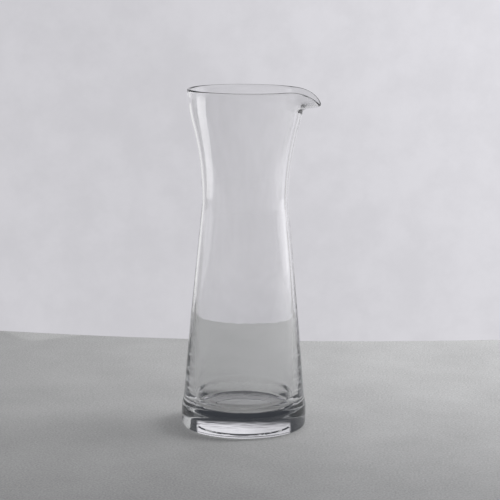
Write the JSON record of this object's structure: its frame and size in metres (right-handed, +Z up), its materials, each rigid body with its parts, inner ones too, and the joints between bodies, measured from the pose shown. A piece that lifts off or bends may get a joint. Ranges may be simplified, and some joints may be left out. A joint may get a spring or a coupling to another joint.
{
  "type": "water carafe",
  "caption": "Clear glass water carafe with a heavy foot, a tapered body, a drawn-in waist, a flared mouth and a pulled pouring spout.",
  "frame": {"origin": "on the carafe's axis, in the plane of the ring that it stands on", "axes": "+Z up along the carafe's axis, +X towards the spout, +Y to the left of the spout as seen from inside the mouth"},
  "size_m": [0.1048, 0.096, 0.26],
  "materials": {
    "glass": "clear colourless glass, smooth, fire-polished at the rim"
  },
  "bodies": {
    "root": {"foot": "glass", "body": "glass", "waist": "glass", "flare": "glass", "rim": "glass", "spout": "glass"}
  },
  "joints": []
}
